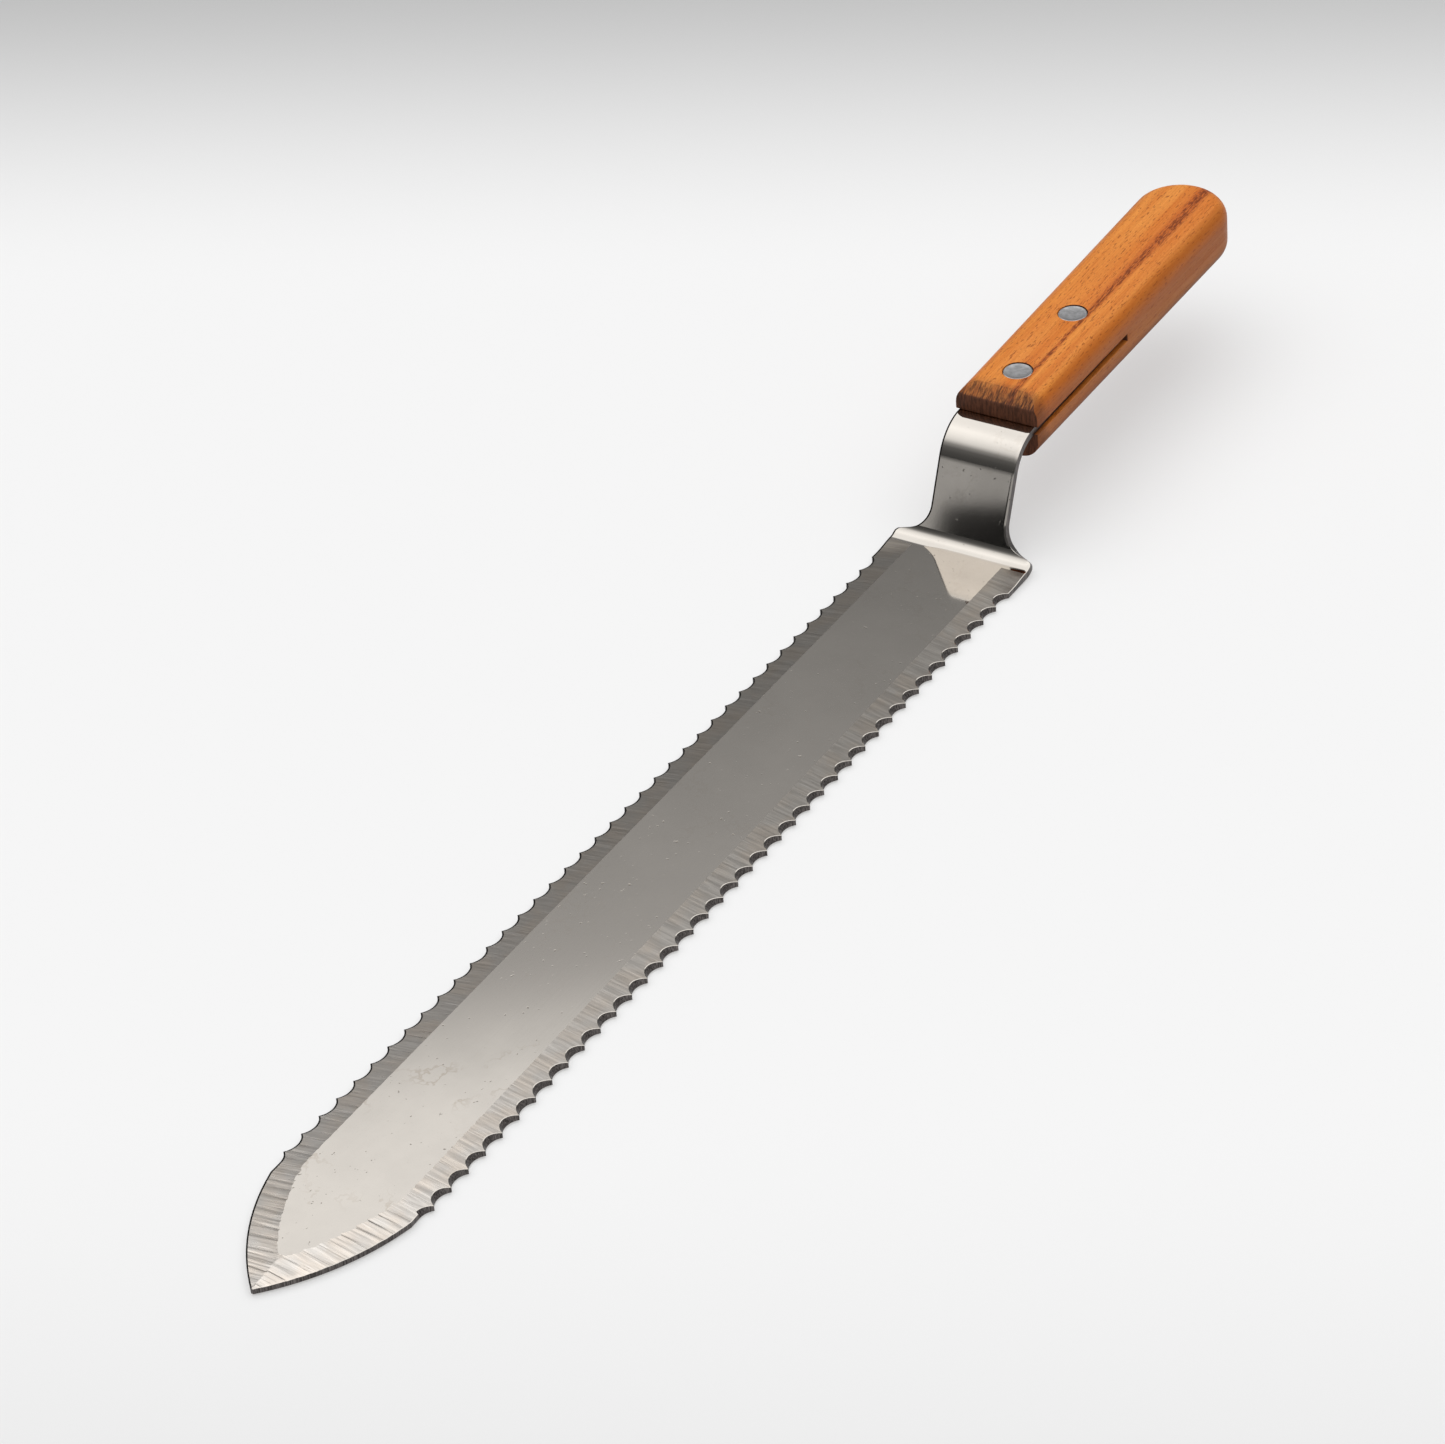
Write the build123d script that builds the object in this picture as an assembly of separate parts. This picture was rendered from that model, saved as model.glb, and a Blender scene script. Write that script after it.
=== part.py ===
from build123d import *
import math
import os

# Long two-edged knife with scalloped edges, cranked neck and riveted wooden handle.
# Millimetres, +X towards the blade's point, +Y to one side, +Z up.
# The blade's flat underside rests on z = 0, and x = 0 is the middle of the overall length.

# Sheet that the blade, neck and tang are one piece of
sheet = 1.8

# Blade
blade_width = 35.6            # over the cusps between scallops
point_length = 29.5           # from the tip back to the first scallop
point_base_width = 33.0       # where the point's curved edges begin
point_radius = 58.0           # curved edges of the point
tooth_pitch = 6.0             # from cusp to cusp
tooth_count = 40              # scallops along each edge
tooth_depth = 1.35            # from cusp line to the bottom of a scallop
heel_land = 12.6              # plain edge between the last scallop and the shoulder
bevel_width = 6.0             # ground strip along the edges, on the top face only
bevel_drop = 0.5              # how much thinner the sheet is at the edge
bevel_runout = 0.6            # from the end of the ground strip to the start of the bend

# Shoulders and neck
shoulder_slope = 18.0         # degrees, how far the shoulders fall back
shoulder_corner_radius = 1.5
shoulder_neck_radius = 7.0
neck_width = 19.5
neck_angle = 67.0             # degrees above the blade
neck_rise = 25.0              # from the blade's middle plane to the corner of the upper bend
foot_ahead = 0.8              # neck's foot ahead of the shoulder corners
lower_bend_radius = 3.0       # inside the bend
upper_bend_radius = 9.2       # inside the bend

# Tang and handle
handle_rise = 1.6             # degrees, the handle climbs gently towards its butt
handle_gap = 0.3              # straight tang showing in front of the handle
tang_depth = 42.0             # tang inside the handle
handle_length = 106.0
handle_front_width = 21.2
handle_butt_width = 23.4
cheek_above = 6.5             # wood above the saw kerf
cheek_below = 6.9             # wood below the saw kerf
handle_edge_radius = 4.8      # along the sides and round the butt
front_bevel_length = 3.8      # sloped strip at the top of the front face
front_bevel_depth = 2.4
front_edge_radius = 0.8
kerf_depth = 44.5
kerf_clearance = 0.05         # on each face of the tang

# Two-part rivets
rivet_places = {"front": 11.0, "rear": 38.5}   # distance behind the handle's front face
rivet_head_diameter = 7.0
rivet_head_height = 1.5
rivet_head_sink = 0.15        # heads sit just under the wood
rivet_head_edge = 0.25
rivet_dish_depth = 0.12
rivet_tube_diameter = 4.5
rivet_pin_diameter = 3.0
rivet_pin_clearance = 0.03    # pin to tube, on the radius
rivet_wood_clearance = 0.1    # head and tube to wood, on the radius
rivet_tang_clearance = 0.25   # tube to tang, on the radius
rivet_end_gap = 0.6           # tube end to the other head, and pin end to the tube's floor

# Derived from the above
half_width = blade_width / 2
trough_half_width = half_width - tooth_depth
shoulder_x = 0.0
last_cusp_x = shoulder_x + heel_land
first_cusp_x = last_cusp_x + tooth_count * tooth_pitch
tip_x = first_cusp_x + point_length
kerf_height = sheet + 2 * kerf_clearance
handle_top = kerf_height / 2 + cheek_above
handle_bottom = -kerf_height / 2 - cheek_below

# Middle line of the sheet through the two bends, as (x, z)
lower_mid_radius = lower_bend_radius + sheet / 2
upper_mid_radius = upper_bend_radius + sheet / 2
foot = Vector(shoulder_x + foot_ahead, 0, sheet / 2)
neck_direction = Vector(-math.cos(math.radians(neck_angle)), 0, math.sin(math.radians(neck_angle)))
tang_direction = Vector(-math.cos(math.radians(handle_rise)), 0, math.sin(math.radians(handle_rise)))
lower_tangent = lower_mid_radius * math.tan(math.radians(neck_angle / 2))
upper_tangent = upper_mid_radius * math.tan(math.radians((neck_angle - handle_rise) / 2))
bend_start_x = foot.X + lower_tangent
upper_corner = foot + neck_direction * (neck_rise / neck_direction.Z)
handle_front = upper_corner + tang_direction * (upper_tangent + handle_gap)
tang_end = handle_front + tang_direction * tang_depth

# The handle's own frame: x runs back along the tang, z up from the tang's middle plane
handle_frame = Plane(origin=handle_front, x_dir=tang_direction, z_dir=Vector(0, 1, 0).cross(tang_direction))


def edge_line(side):
    """Outline of one edge, from the tip back to the start of the lower bend."""
    corner = (first_cusp_x, side * point_base_width / 2)
    first_trough = (first_cusp_x - tooth_pitch / 2, side * trough_half_width)
    tip = (tip_x, 0)
    chord = math.dist(tip, corner)
    sagitta = point_radius - math.sqrt(point_radius**2 - (chord / 2) ** 2)
    normal = ((tip_x - first_cusp_x) * side / chord, point_base_width / 2 / chord)
    bulge = (
        (tip[0] + corner[0]) / 2 + sagitta * normal[1],
        (tip[1] + corner[1]) / 2 + sagitta * normal[0],
    )
    edges = [ThreePointArc(tip, bulge, corner), Line(corner, first_trough)]
    edges.append(scallop_arc(0, side, 0.5))
    for tooth in range(1, tooth_count):
        edges.append(scallop_arc(tooth, side, 0.0))
    edges.append(Line((last_cusp_x, side * half_width), (bend_start_x, side * half_width)))
    return edges


def scallop_arc(tooth, side, start):
    """One scallop, or its rear half when start is 0.5."""
    scallop_radius = ((tooth_pitch / 2) ** 2 + tooth_depth**2) / (2 * tooth_depth)
    centre_x = first_cusp_x - (tooth + 0.5) * tooth_pitch
    centre_y = trough_half_width + scallop_radius

    def on_arc(share):
        x = first_cusp_x - (tooth + share) * tooth_pitch
        y = centre_y - math.sqrt(scallop_radius**2 - (x - centre_x) ** 2)
        return (x, side * y)

    return ThreePointArc(on_arc(start), on_arc((start + 1) / 2), on_arc(1))


def bevel_section(outer):
    """Wedge that is ground off the top face, as (distance outwards, height) of its corners."""
    spare = 2.0
    inner = outer - bevel_width
    far = outer + spare
    far_height = sheet - bevel_drop / bevel_width * (far - inner)
    above = sheet + spare
    return [(inner, sheet), (far, far_height), (far, above), (inner, above)]


def point_bevel(side):
    """Wedge ground off along one curved edge of the point."""
    corner = Vector(first_cusp_x, side * point_base_width / 2)
    tip = Vector(tip_x, 0)
    chord = tip - corner
    reach = math.sqrt(point_radius**2 - (chord.length / 2) ** 2)
    inward = Vector(-chord.Y, chord.X).normalized() * -side
    centre = (tip + corner) * 0.5 + inward * reach
    section = Plane.XZ * make_face(Polyline(*bevel_section(point_radius), close=True))
    ring = Pos(centre.X, centre.Y, 0) * revolve(section, Axis.Z, 360)
    room = 60.0
    ahead = Pos(first_cusp_x + room / 2, side * (room / 2 - bevel_width), sheet) * Box(room, room, room)
    return ring & ahead


def straight_bevel(side):
    """Wedge ground off along one straight edge, up to just ahead of the bend."""
    points = [(side * out, height) for out, height in bevel_section(half_width)]
    section = Plane.YZ * make_face(Polyline(*points, close=True))
    start_x = bend_start_x + bevel_runout
    return Pos(start_x, 0, 0) * extrude(section, amount=first_cusp_x - start_x, dir=(1, 0, 0))


def blade_plate():
    """Flat blade with both scalloped edges and its ground strips."""
    left = edge_line(1)
    right = edge_line(-1)
    back = Line((bend_start_x, half_width), (bend_start_x, -half_width))
    outline = make_face(left + right + [back])
    plate = extrude(outline, amount=sheet)
    for side in (1, -1):
        plate -= straight_bevel(side)
        plate -= point_bevel(side)
    return plate


def neck_and_tang():
    """Bent strip behind the blade: lower bend, neck, upper bend and tang."""
    overlap = 1.0
    start = Vector(bend_start_x + overlap, 0, sheet / 2)
    bends = [lower_mid_radius, upper_mid_radius]
    path = FilletPolyline(start, foot, upper_corner, tang_end, radius=bends)
    section = Plane(origin=start, x_dir=(0, 1, 0), z_dir=(-1, 0, 0)) * Rectangle(blade_width, sheet)
    strip = sweep(section, path=path)
    return strip & neck_outline_prism()


def neck_outline_prism():
    """Shoulders and neck sides, seen square to the neck's slope, as a tall prism."""
    reach = 80.0
    half_neck = neck_width / 2
    corner_height = 0.0
    fall = (half_width - half_neck) * math.tan(math.radians(shoulder_slope))
    points = [
        (half_width, -reach),
        (half_width, corner_height),
        (half_neck, corner_height + fall),
        (half_neck, reach),
        (-half_neck, reach),
        (-half_neck, corner_height + fall),
        (-half_width, corner_height),
        (-half_width, -reach),
    ]
    outline = make_face(Polyline(*points, close=True))
    inner = outline.vertices().filter_by(lambda v: abs(v.Y - corner_height - fall) < 0.01)
    outline = fillet(inner, shoulder_neck_radius)
    outer = outline.vertices().filter_by(lambda v: abs(v.Y - corner_height) < 0.01)
    outline = fillet(outer, shoulder_corner_radius)
    corner = Vector(shoulder_x, 0, sheet)
    slope_plane = Plane(origin=corner, x_dir=(0, 1, 0), z_dir=Vector(0, 1, 0).cross(neck_direction))
    return extrude(slope_plane * outline, amount=reach, both=True)


def rivet_hole(place, radius, low, high):
    """Round cutter in the handle's frame, from one height to another."""
    hole = Cylinder(radius, high - low, align=(Align.CENTER, Align.CENTER, Align.MIN))
    return Pos(place, 0, low) * hole


def blade():
    """Blade, neck and tang in one sheet, drilled for the rivets."""
    body = blade_plate() + neck_and_tang()
    for place in rivet_places.values():
        radius = rivet_tube_diameter / 2 + rivet_tang_clearance
        body -= handle_frame.location * rivet_hole(place, radius, -sheet, sheet)
    return body


def handle():
    """One block of wood, sawn from the front for the tang and counterbored for the rivets."""
    front = handle_front_width / 2
    butt = handle_butt_width / 2
    butt_x = handle_length - butt
    outline = make_face(
        [
            Line((0, -front), (butt_x, -butt)),
            ThreePointArc((butt_x, -butt), (handle_length, 0), (butt_x, butt)),
            Line((butt_x, butt), (0, front)),
            Line((0, front), (0, -front)),
        ]
    )
    block = Pos(0, 0, handle_bottom) * extrude(outline, amount=handle_top - handle_bottom)
    rims = block.edges().filter_by(lambda e: abs(e.center().Z - e.start_point().Z) < 0.01)
    rims = rims.filter_by(lambda e: e.center().X > front_bevel_length)
    block = fillet(rims, handle_edge_radius)
    spare = 1.0
    bevel_foot = handle_top - front_bevel_depth
    corners = [(-spare, bevel_foot), (0, bevel_foot), (front_bevel_length, handle_top)]
    corners.append((front_bevel_length, handle_top + spare))
    corners.append((-spare, handle_top + spare))
    section = Plane.XZ * make_face(Polyline(*corners, close=True))
    block -= extrude(section, amount=handle_butt_width, both=True)
    face = block.faces().sort_by(Axis.X)[0]
    block = fillet(face.edges(), front_edge_radius)
    across = (Align.MIN, Align.CENTER, Align.CENTER)
    kerf = Box(kerf_depth + spare, handle_butt_width + spare, kerf_height, align=across)
    block -= Pos(-spare, 0, 0) * kerf
    tube_hole = rivet_tube_diameter / 2 + rivet_wood_clearance
    head_hole = rivet_head_diameter / 2 + rivet_wood_clearance
    seat = rivet_head_height + rivet_head_sink
    for place in rivet_places.values():
        block -= rivet_hole(place, tube_hole, handle_bottom, handle_top)
        block -= rivet_hole(place, head_hole, handle_top - seat, handle_top + spare)
        block -= rivet_hole(place, head_hole, handle_bottom - spare, handle_bottom + seat)
    return handle_frame.location * block


def rivet_head_section(shank_radius, shank_length):
    """Half section of a head on its shank: x is the radius, z grows from the head's seat to its top."""
    radius = rivet_head_diameter / 2
    rim = radius - rivet_head_edge
    return [
        (0, -shank_length),
        (shank_radius, -shank_length),
        (shank_radius, 0),
        (radius, 0),
        (radius, rivet_head_height - rivet_head_edge),
        (rim, rivet_head_height),
        (rim * 0.6, rivet_head_height - rivet_dish_depth),
        (0, rivet_head_height - rivet_dish_depth),
    ]


def rivet_pin():
    """Upper half: dished head on a solid pin. The origin is the head's seat."""
    between_seats = handle_top - handle_bottom - 2 * (rivet_head_height + rivet_head_sink)
    points = rivet_head_section(rivet_pin_diameter / 2, between_seats - rivet_end_gap)
    section = Plane.XZ * make_face(Polyline(*points, close=True))
    return revolve(section, Axis.Z, 360)


def rivet_tube():
    """Lower half: the same head on a tube that takes the pin. The origin is the head's seat."""
    between_seats = handle_top - handle_bottom - 2 * (rivet_head_height + rivet_head_sink)
    length = between_seats - rivet_end_gap
    points = rivet_head_section(rivet_tube_diameter / 2, length)
    section = Plane.XZ * make_face(Polyline(*points, close=True))
    body = revolve(section, Axis.Z, 360)
    bore_radius = rivet_pin_diameter / 2 + rivet_pin_clearance
    return body - Cylinder(bore_radius, length, align=(Align.CENTER, Align.CENTER, Align.MAX))


def rivets():
    """Both rivets in place, pins from above and tubes from below."""
    seat = rivet_head_height + rivet_head_sink
    placed = {}
    for name, place in rivet_places.items():
        upper = Pos(place, 0, handle_top - seat) * rivet_pin()
        lower = Pos(place, 0, handle_bottom + seat) * Rot(180, 0, 0) * rivet_tube()
        placed[name + "_rivet_pin"] = handle_frame.location * upper
        placed[name + "_rivet_tube"] = handle_frame.location * lower
    return placed


parts = {"blade": blade(), "handle": handle()}
parts.update(rivets())

butt_end_x = parts["handle"].bounding_box().min.X
centre = Pos(-(butt_end_x + tip_x) / 2, 0, 0)
os.makedirs("parts", exist_ok=True)
for name, part in parts.items():
    export_step(centre * part, f"parts/{name}.step")
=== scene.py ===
import math

import bmesh
import bpy
from bpy.props import FloatProperty, FloatVectorProperty, IntProperty, PointerProperty
from mathutils import Matrix, Vector


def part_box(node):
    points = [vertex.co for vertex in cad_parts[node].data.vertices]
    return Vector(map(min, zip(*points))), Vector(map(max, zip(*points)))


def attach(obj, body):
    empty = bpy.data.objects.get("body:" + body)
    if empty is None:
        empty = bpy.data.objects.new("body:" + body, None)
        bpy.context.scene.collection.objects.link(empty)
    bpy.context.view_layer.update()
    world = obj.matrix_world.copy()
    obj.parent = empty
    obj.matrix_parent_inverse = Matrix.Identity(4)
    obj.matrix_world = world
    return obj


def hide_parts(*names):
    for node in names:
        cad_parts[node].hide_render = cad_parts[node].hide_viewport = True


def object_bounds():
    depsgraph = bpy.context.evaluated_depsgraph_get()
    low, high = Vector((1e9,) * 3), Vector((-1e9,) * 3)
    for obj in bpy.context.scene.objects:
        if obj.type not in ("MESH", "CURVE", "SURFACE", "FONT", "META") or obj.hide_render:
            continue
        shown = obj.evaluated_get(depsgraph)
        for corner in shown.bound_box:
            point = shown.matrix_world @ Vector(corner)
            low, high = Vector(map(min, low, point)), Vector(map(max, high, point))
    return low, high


bl_info = {
    "name": "Offset serrated knife",
    "version": (1, 0, 0),
    "blender": (4, 5, 0),
    "location": "View3D > Sidebar > Knife",
    "description": "Builds a two-edged knife with scalloped edges, a cranked neck and a riveted beech handle",
    "category": "Add Mesh",
}

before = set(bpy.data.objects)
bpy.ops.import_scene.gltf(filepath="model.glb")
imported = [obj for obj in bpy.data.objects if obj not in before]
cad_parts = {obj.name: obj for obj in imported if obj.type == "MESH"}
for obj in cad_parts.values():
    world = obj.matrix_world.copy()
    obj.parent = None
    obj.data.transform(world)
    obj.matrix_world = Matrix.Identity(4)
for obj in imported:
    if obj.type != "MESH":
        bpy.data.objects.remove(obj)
cad_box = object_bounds()
mm = 0.001

blade_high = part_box("blade")[1]
handle_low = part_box("handle")[0]
rivet_count = 2


# Sizes and colours that a user would change


def length(name, description, default):
    return FloatProperty(
        name=name, description=description, default=default * mm, min=0.0, unit="LENGTH", precision=5
    )


def degrees(name, description, default):
    return FloatProperty(
        name=name, description=description, default=math.radians(default), subtype="ANGLE"
    )


def colour(name, description, default):
    return FloatVectorProperty(
        name=name, description=description, default=default, size=3, min=0.0, max=1.0, subtype="COLOR"
    )


class KnifeBladeSizes(bpy.types.PropertyGroup):
    """Blade, its scallops and its ground strips."""

    sheet: length("Sheet", "Thickness of the sheet", 1.8)
    point_length: length("Point length", "From the tip to the first scallop", 29.5)
    point_base: length("Point base", "Width where the curved edges of the point begin", 33.0)
    point_radius: length("Point radius", "Radius of the point's curved edges", 58.0)
    tip_width: length("Tip width", "Width of the blunt tip", 0.5)
    tooth_pitch: length("Scallop pitch", "From cusp to cusp", 6.0)
    tooth_depth: length("Scallop depth", "Depth of a scallop where it is narrow", 1.35)
    tooth_depth_ground: length("Ground scallop depth", "Depth on the face it is ground from", 2.05)
    tooth_count: IntProperty(name="Scallops", description="Scallops along each edge", default=40, min=1)
    heel_land: length("Heel", "Plain edge behind the last scallop", 12.6)
    bevel_width: length("Ground strip", "Width of the strip ground along each edge", 6.1)
    bevel_drop: length("Ground depth", "How much the ground strip thins the edge", 0.5)
    bevel_fade: length("Ground fade", "Length over which the ground strip runs out at the heel", 6.0)
    burr: length("Worn corner", "Width of the worn corner along the edges", 0.16)
    burr_fall: length("Worn corner fall", "How far the worn corner falls", 0.05)
    # The corner along the edge ground from below carries painted shade: a dark line along that edge.
    painted_shade_corner: length("Filed corner", "Width of the dark filed corner on the edge ground from below", 0.42)
    painted_shade_corner_fall: length("Filed corner fall", "How far the filed corner falls", 0.06)
    stroke: length("Grinding strokes", "Length of one coarse grinding stroke at the point", 2.7)
    stroke_reach: length("Stroke reach", "How unevenly the strokes reach inwards at the point", 0.9)
    stroke_depth: length("Stroke depth", "Depth of a coarse stroke at the point", 0.10)
    stroke_below: FloatProperty(
        name="Stroke share", description="Depth of the strokes on the edge ground from below", default=0.4
    )
    stroke_slant: degrees("Stroke slant", "How far the strokes lean forwards on their way out", 6.0)
    steel: colour("Steel", "Colour of the sheet's face", (0.645, 0.605, 0.555))
    ground: colour("Ground steel", "Colour of the ground strips", (0.445, 0.418, 0.384))
    # The cut edges' near-black tone is painted shade: the walls are darkened to stand for the shade they lie
    # in.
    cut: colour("Cut edge", "Colour of the cut edges", (0.05, 0.045, 0.043))


class KnifeNeckSizes(bpy.types.PropertyGroup):
    """Shoulders, cranked neck and tang."""

    shoulder_slope: degrees("Shoulder slope", "How far the shoulders fall back", 18.0)
    corner_radius: length("Shoulder corner", "Rounding of the outer corners", 1.5)
    root_radius: length("Neck root", "Rounding between shoulder and neck", 7.0)
    width: length("Neck width", "Width of neck and tang", 19.5)
    angle: degrees("Neck angle", "Rise of the neck above the blade", 67.0)
    rise: length("Neck rise", "Height of the upper bend's corner above the blade's middle", 25.0)
    foot_ahead: length("Foot ahead", "Neck's foot ahead of the shoulder corners", 0.8)
    lower_radius: length("Lower bend", "Inside radius of the lower bend", 4.2)
    upper_radius: length("Upper bend", "Inside radius of the upper bend", 9.2)
    tang_depth: length("Tang", "Tang inside the handle", 42.0)


class KnifeHandleSizes(bpy.types.PropertyGroup):
    """Wooden handle."""

    climb: degrees("Climb", "Climb of the handle towards its butt", 1.6)
    gap: length("Gap", "Straight tang showing ahead of the handle", 0.3)
    length: length("Length", "Overall length of the handle", 106.0)
    front_width: length("Front width", "Width at the front face", 21.2)
    butt_width: length("Butt width", "Width at the rounded butt", 23.4)
    cheek_above: length("Upper cheek", "Wood above the saw kerf", 6.5)
    cheek_below: length("Lower cheek", "Wood below the saw kerf", 6.9)
    edge_radius: length("Edge radius", "Rounding along the sides and the butt", 4.8)
    bevel_length: length("Front bevel length", "Sloped strip at the top of the front face", 3.8)
    bevel_depth: length("Front bevel depth", "Depth of the sloped strip", 2.4)
    front_rounding: length("Front rounding", "Rounding of the front face's edges", 0.7)
    kerf_depth: length("Kerf depth", "Depth of the saw kerf", 44.5)
    kerf_clearance: length("Kerf clearance", "Room on each face of the tang", 0.05)
    streak_side: length("Streak place", "Distance of the dark streak from the handle's middle", 3.3)
    streak_width: length("Streak width", "Half the width of the dark streak", 2.9)
    wood: colour("Beech", "Main colour of the oiled wood", (0.60, 0.172, 0.022))
    pale: colour("Pale beech", "Paler bands", (0.73, 0.28, 0.052))
    streak: colour("Streak", "Red-brown streak and flecks", (0.20, 0.038, 0.006))
    end_grain: colour("End grain", "Wood cut across the grain", (0.05, 0.018, 0.009))


class KnifeRivetSizes(bpy.types.PropertyGroup):
    """Two-part rivets."""

    front_place: length("Front rivet", "Distance behind the front face", 11.0)
    spacing: length("Spacing", "Distance between the rivets", 27.5)
    head_diameter: length("Head", "Diameter of the heads", 7.0)
    head_height: length("Head height", "Height of a head", 1.5)
    sink: length("Sink", "How far a head sits under the wood", 0.15)
    dish: length("Dish", "Hollow of a head", 0.12)
    tube_diameter: length("Tube", "Diameter of the tube", 4.5)
    pin_diameter: length("Pin", "Diameter of the pin", 3.0)
    pin_clearance: length("Pin clearance", "Pin to tube, on the radius", 0.03)
    wood_clearance: length("Wood clearance", "Rivet to wood, on the radius", 0.1)
    tang_clearance: length("Tang clearance", "Tube to tang, on the radius", 0.25)
    end_gap: length("End gap", "Tube end to the other head", 0.6)
    metal: colour("Aluminium", "Colour of the rivets", (0.54, 0.54, 0.55))


class KnifeStageSizes(bpy.types.PropertyGroup):
    """Floor, lights and camera."""

    paper: colour("Paper", "Colour of the floor", (0.842, 0.842, 0.842))
    # The paper's glow is painted light that lightens the shadows on the floor.
    paper_glow: FloatProperty(
        name="Paper glow", description="Share of the paper's tone lit from below", default=0.45
    )
    sky: FloatProperty(name="Sky", description="Strength of the soft surroundings", default=1.3, min=0.0)
    ceiling: FloatProperty(
        name="Ceiling", description="Power of the large soft light", default=33.0, min=0.0, unit="POWER"
    )
    floor_gap: length("Floor gap", "How far the floor lies under the blade", 0.5)
    distance: FloatProperty(
        name="Distance", description="Camera to the point it looks at", default=1.0, unit="LENGTH"
    )
    heading: degrees("Heading", "Camera's heading from +X towards +Y", 33.6)
    height: degrees("Elevation", "Camera's elevation", 35.0)
    roll: degrees("Roll", "Camera's roll", -4.6)
    lens: FloatProperty(name="Lens", description="Focal length", default=113.4, unit="CAMERA")


class KnifeSizes(bpy.types.PropertyGroup):
    """Everything that shapes the knife."""

    blade: PointerProperty(type=KnifeBladeSizes)
    neck: PointerProperty(type=KnifeNeckSizes)
    handle: PointerProperty(type=KnifeHandleSizes)
    rivets: PointerProperty(type=KnifeRivetSizes)
    stage: PointerProperty(type=KnifeStageSizes)


# Node helpers


def scaled(tone, share):
    return tuple(part * share for part in tone)


class Wiring:
    """Adds nodes to a tree, one call per node."""

    def __init__(self, tree):
        self.tree = tree

    def node(self, kind, inputs=None, **settings):
        made = self.tree.nodes.new(kind)
        for key, value in settings.items():
            setattr(made, key, value)
        for key, value in (inputs or {}).items():
            self.put(made.inputs[key], value)
        return made

    def put(self, socket, value):
        if isinstance(value, bpy.types.NodeSocket):
            self.tree.links.new(value, socket)
        else:
            socket.default_value = value

    def place(self):
        return self.node("ShaderNodeTexCoord").outputs["Object"]

    def parts(self, vector):
        return self.node("ShaderNodeSeparateXYZ", {"Vector": vector}).outputs

    def along(self, vector, direction):
        """How far the vector reaches along a fixed direction."""
        made = self.node("ShaderNodeVectorMath", operation="DOT_PRODUCT")
        self.put(made.inputs[0], vector)
        self.put(made.inputs[1], tuple(direction))
        return made.outputs["Value"]

    def math(self, operation, *values, clamp=False):
        made = self.node("ShaderNodeMath", operation=operation, use_clamp=clamp)
        for socket, value in zip(made.inputs, values):
            self.put(socket, value)
        return made.outputs[0]

    def between(self, value, low, high, to_low=0.0, to_high=1.0):
        """Smooth step from to_low to to_high while value goes from low to high."""
        inputs = {"Value": value, "From Min": low, "From Max": high, "To Min": to_low, "To Max": to_high}
        return self.node("ShaderNodeMapRange", inputs, interpolation_type="SMOOTHSTEP").outputs[0]

    def mix(self, share, first, second, blend="MIX"):
        made = self.node("ShaderNodeMix", data_type="RGBA", blend_type=blend)
        self.put(made.inputs[0], share)
        self.put(made.inputs[6], first if isinstance(first, bpy.types.NodeSocket) else (*first, 1.0))
        self.put(made.inputs[7], second if isinstance(second, bpy.types.NodeSocket) else (*second, 1.0))
        return made.outputs[2]

    def noise(self, vector, scale, detail=2.0, roughness=0.5):
        inputs = {"Vector": vector, "Scale": scale, "Detail": detail, "Roughness": roughness}
        return self.node("ShaderNodeTexNoise", inputs).outputs["Fac"]

    def stretched(self, vector, scale, turn=(0.0, 0.0, 0.0), shift=(0.0, 0.0, 0.0)):
        inputs = {"Vector": vector, "Location": shift, "Rotation": turn, "Scale": scale}
        return self.node("ShaderNodeMapping", inputs).outputs[0]

    def bump(self, height, distance, strength=1.0, normal=None):
        made = self.node("ShaderNodeBump", {"Height": height, "Distance": distance, "Strength": strength})
        if normal:
            self.put(made.inputs["Normal"], normal)
        return made.outputs[0]


def new_material(name, **fixed):
    """Material with one Principled shader. fixed holds the values that are the same all over."""
    material = bpy.data.materials.new(name)
    material.use_nodes = True
    wiring = Wiring(material.node_tree)
    shader = material.node_tree.nodes["Principled BSDF"]
    for key, value in fixed.items():
        shader.inputs[key.replace("_", " ")].default_value = value
    return material, wiring, shader


# Materials


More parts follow.
